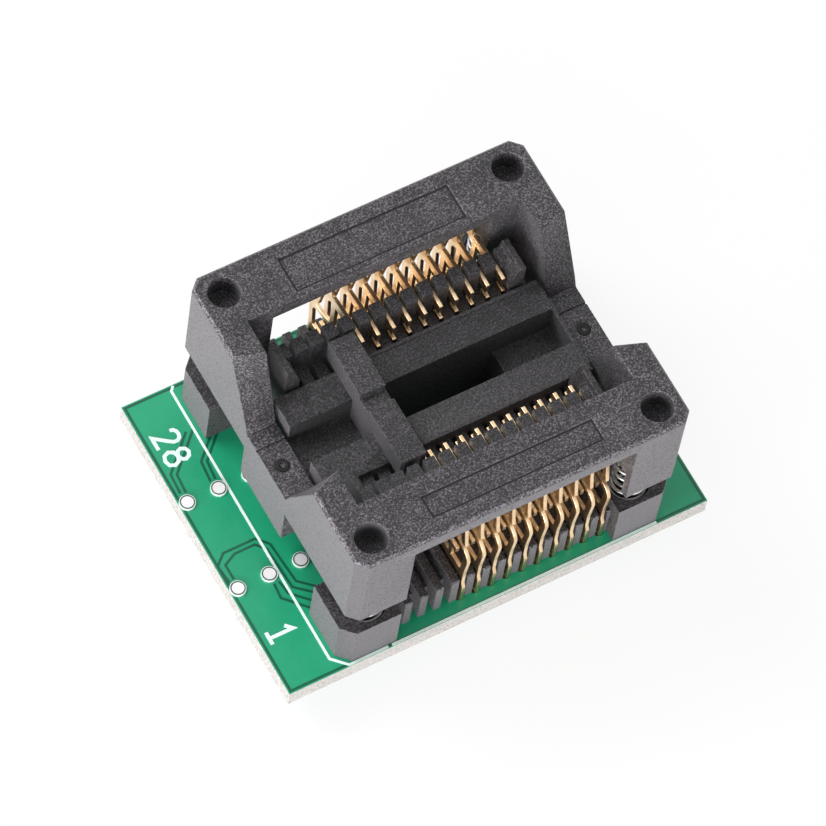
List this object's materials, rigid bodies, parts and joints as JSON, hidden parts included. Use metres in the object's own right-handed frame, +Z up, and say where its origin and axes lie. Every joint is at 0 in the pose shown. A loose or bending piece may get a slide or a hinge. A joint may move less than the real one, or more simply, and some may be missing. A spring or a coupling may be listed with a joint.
{
  "type": "open-top chip test socket on a plug-in adapter board",
  "caption": "Green adapter board with plug pins below and a black open-top test socket above, whose sprung cover is pressed to open gold contacts for a small-outline chip.",
  "frame": {"origin": "middle of the board in X and Y, at the level of the plug pins' tips", "axes": "+X along the pin rows towards the end with all contacts fitted, +Y across the rows, +Z up out of the socket"},
  "size_m": [0.0342, 0.0254, 0.0205],
  "materials": {
    "laminate": "green solder mask over glass laminate",
    "base_plastic": "moulded, fine speckle",
    "cover_plastic": "moulded, fine speckle",
    "locator_plastic": "moulded, coarse speckle",
    "spring_steel": "drawn wire",
    "contact_gold": "gold-plated blanked sheet",
    "pin_tin": "tin plate"
  },
  "bodies": {
    "base": {"pcb": "laminate", "socket_base": "base_plastic", "chip_locator": "locator_plastic", "spring_front_left": "spring_steel", "spring_front_right": "spring_steel", "spring_rear_left": "spring_steel", "spring_rear_right": "spring_steel", "contact_front_01": "contact_gold", "contact_front_02": "contact_gold", "contact_front_03": "contact_gold", "contact_front_04": "contact_gold", "contact_front_05": "contact_gold", "contact_front_06": "contact_gold", "contact_front_07": "contact_gold", "contact_front_08": "contact_gold", "contact_front_09": "contact_gold", "contact_front_10": "contact_gold", "contact_rear_01": "contact_gold", "contact_rear_02": "contact_gold", "contact_rear_03": "contact_gold", "contact_rear_04": "contact_gold", "contact_rear_05": "contact_gold", "contact_rear_06": "contact_gold", "contact_rear_07": "contact_gold", "contact_rear_08": "contact_gold", "contact_rear_09": "contact_gold", "contact_rear_10": "contact_gold", "pin_front_01": "pin_tin", "pin_front_02": "pin_tin", "pin_front_03": "pin_tin", "pin_front_04": "pin_tin", "pin_front_05": "pin_tin", "pin_front_06": "pin_tin", "pin_front_07": "pin_tin", "pin_front_08": "pin_tin", "pin_front_09": "pin_tin", "pin_front_10": "pin_tin", "pin_front_11": "pin_tin", "pin_front_12": "pin_tin", "pin_front_13": "pin_tin", "pin_front_14": "pin_tin", "pin_rear_01": "pin_tin", "pin_rear_02": "pin_tin", "pin_rear_03": "pin_tin", "pin_rear_04": "pin_tin", "pin_rear_05": "pin_tin", "pin_rear_06": "pin_tin", "pin_rear_07": "pin_tin", "pin_rear_08": "pin_tin", "pin_rear_09": "pin_tin", "pin_rear_10": "pin_tin", "pin_rear_11": "pin_tin", "pin_rear_12": "pin_tin", "pin_rear_13": "pin_tin", "pin_rear_14": "pin_tin"},
    "cover": {"cover": "cover_plastic"}
  },
  "joints": [
    {"name": "cover_press", "type": "slide", "parent": "base", "child": "cover", "axis": [0, 0, -1], "range_m": [0, 0.0025], "stiffness_N_per_m": 1500, "springref_m": -0.002, "deforming": ["spring_front_left", "spring_front_right", "spring_rear_left", "spring_rear_right", "contact_front_01", "contact_front_02", "contact_front_03", "contact_front_04", "contact_front_05", "contact_front_06", "contact_front_07", "contact_front_08", "contact_front_09", "contact_front_10", "contact_rear_01", "contact_rear_02", "contact_rear_03", "contact_rear_04", "contact_rear_05", "contact_rear_06", "contact_rear_07", "contact_rear_08", "contact_rear_09", "contact_rear_10"]}
  ]
}
